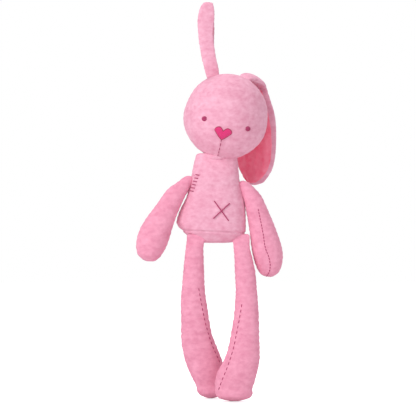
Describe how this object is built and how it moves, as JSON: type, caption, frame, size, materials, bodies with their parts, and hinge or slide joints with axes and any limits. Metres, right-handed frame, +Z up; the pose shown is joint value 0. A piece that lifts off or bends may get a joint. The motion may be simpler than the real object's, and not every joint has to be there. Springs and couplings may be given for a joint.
{
  "type": "interactive plush rabbit",
  "caption": "Long-limbed stuffed plush rabbit with one raised and one drooping ear, jointed soft neck, limbs and ears, and a squeeze sound module in its belly.",
  "frame": {"origin": "middle of the whole rabbit's box at the level its soles stand on", "axes": "+Z up, the face looks along -Y, +X is the rabbit's left"},
  "size_m": [0.1995, 0.1139, 0.5194],
  "materials": {
    "plush": "short-pile pink plush",
    "ear_lining": "coral satin",
    "polyester_filling": "loose polyester fibre",
    "plum_thread": "embroidery thread",
    "nose_thread": "satin stitch thread",
    "pouch_cloth": "plain woven cotton",
    "hook_and_loop": "nylon hook and loop tape",
    "case_plastic": "moulded ABS",
    "button_plastic": "moulded ABS",
    "board": "glass epoxy laminate",
    "speaker_plastic": "moulded plastic",
    "steel": "nickel-plated steel",
    "wire_cover": "PVC insulation"
  },
  "bodies": {
    "torso": {"torso_front_panel": "plush", "torso_back_panel": "plush", "torso_base_panel": "plush", "torso_filling": "polyester_filling", "belly_cross_stitch": "plum_thread", "shoulder_ladder_stitches": "plum_thread", "module_pouch": "pouch_cloth", "closure_loop_strip": "hook_and_loop", "module_front_case": "case_plastic", "module_back_case": "case_plastic", "battery_door": "case_plastic", "door_screw": "steel", "circuit_board": "board", "speaker": "speaker_plastic", "button_cells": "steel", "battery_contacts": "steel", "tact_switch": "button_plastic", "speaker_wires": "wire_cover", "button_spring": "steel"},
    "sound_button": {"sound_button": "button_plastic"},
    "closure_flap": {"closure_flap": "plush", "closure_hook_strip": "hook_and_loop"},
    "neck_turning": {"neck_filling": "polyester_filling"},
    "neck_nodding": {"neck_seam": "plush"},
    "head": {"head_front_panel": "plush", "head_back_panel": "plush", "head_filling": "polyester_filling", "right_eye": "plum_thread", "left_eye": "plum_thread", "nose_patch": "nose_thread", "mouth_stitches": "plum_thread", "left_ear_root": "plush"},
    "right_ear_swaying": {"right_ear_gather": "plush"},
    "right_ear": {"right_ear_outer": "plush", "right_ear_lining": "ear_lining"},
    "left_ear": {"left_ear_outer": "plush", "left_ear_lining": "ear_lining"},
    "right_shoulder": {"right_shoulder_filling": "polyester_filling"},
    "right_arm": {"right_arm_front_panel": "plush", "right_arm_back_panel": "plush", "right_arm_filling": "polyester_filling"},
    "right_leg": {"right_leg_front_panel": "plush", "right_leg_back_panel": "plush", "right_leg_filling": "polyester_filling", "right_leg_stitches": "plum_thread", "right_hip_seam": "plush"},
    "left_shoulder": {"left_shoulder_filling": "polyester_filling"},
    "left_arm": {"left_arm_front_panel": "plush", "left_arm_back_panel": "plush", "left_arm_filling": "polyester_filling", "left_arm_stitches": "plum_thread"},
    "left_leg": {"left_leg_front_panel": "plush", "left_leg_back_panel": "plush", "left_leg_filling": "polyester_filling", "left_leg_stitches": "plum_thread", "left_hip_seam": "plush"}
  },
  "joints": [
    {"name": "head_turn", "type": "hinge", "parent": "torso", "child": "neck_turning", "pos_m": [0.0095, 0, 0.316], "axis": [0, 0, 1], "range_deg": [-40, 40]},
    {"name": "head_nod", "type": "hinge", "parent": "neck_turning", "child": "neck_nodding", "pos_m": [0.0095, 0, 0.316], "axis": [1, 0, 0], "range_deg": [-15, 15]},
    {"name": "head_tilt", "type": "hinge", "parent": "neck_nodding", "child": "head", "pos_m": [0.0095, 0, 0.316], "axis": [0, 1, 0], "range_deg": [-30, 10]},
    {"name": "right_ear_sway", "type": "hinge", "parent": "head", "child": "right_ear_swaying", "pos_m": [0.0049, 0, 0.42723], "axis": [0, 1, 0], "range_deg": [-70, 40]},
    {"name": "right_ear_fold", "type": "hinge", "parent": "right_ear_swaying", "child": "right_ear", "pos_m": [0.0049, 0, 0.42723], "axis": [1, 0, 0], "range_deg": [-60, 55]},
    {"name": "left_ear_lift", "type": "hinge", "parent": "head", "child": "left_ear", "pos_m": [0.0684, 0.0398, 0.413], "axis": [0.866, -0.5, 0], "range_deg": [0, 90]},
    {"name": "right_arm_raise", "type": "hinge", "parent": "torso", "child": "right_shoulder", "pos_m": [-0.032, -0.004, 0.286], "axis": [0, 1, 0], "range_deg": [0, 75]},
    {"name": "right_arm_swing", "type": "hinge", "parent": "right_shoulder", "child": "right_arm", "pos_m": [-0.032, -0.004, 0.286], "axis": [-1, 0, 0], "range_deg": [-35, 90]},
    {"name": "left_arm_raise", "type": "hinge", "parent": "torso", "child": "left_shoulder", "pos_m": [0.0488, -0.004, 0.283], "axis": [0, -1, 0], "range_deg": [0, 85]},
    {"name": "left_arm_swing", "type": "hinge", "parent": "left_shoulder", "child": "left_arm", "pos_m": [0.0488, -0.004, 0.283], "axis": [-1, 0, 0], "range_deg": [-35, 90]},
    {"name": "right_leg_swing", "type": "hinge", "parent": "torso", "child": "right_leg", "pos_m": [-0.0165, -0.016, 0.211], "axis": [-0.9135, 0.4067, 0], "range_deg": [-20, 80]},
    {"name": "left_leg_swing", "type": "hinge", "parent": "torso", "child": "left_leg", "pos_m": [0.041, -0.012, 0.211], "axis": [-0.9135, -0.4067, 0], "range_deg": [0, 80]},
    {"name": "closure_flap_open", "type": "hinge", "parent": "torso", "child": "closure_flap", "pos_m": [0.006, 0.03, 0.2805], "axis": [1, 0, 0], "range_deg": [0, 100]},
    {"name": "sound_button_press", "type": "slide", "parent": "torso", "child": "sound_button", "axis": [0, 1, 0], "range_m": [0, 0.0015], "stiffness_N_per_m": 300, "springref_m": -0.0005, "deforming": ["button_spring"]}
  ]
}
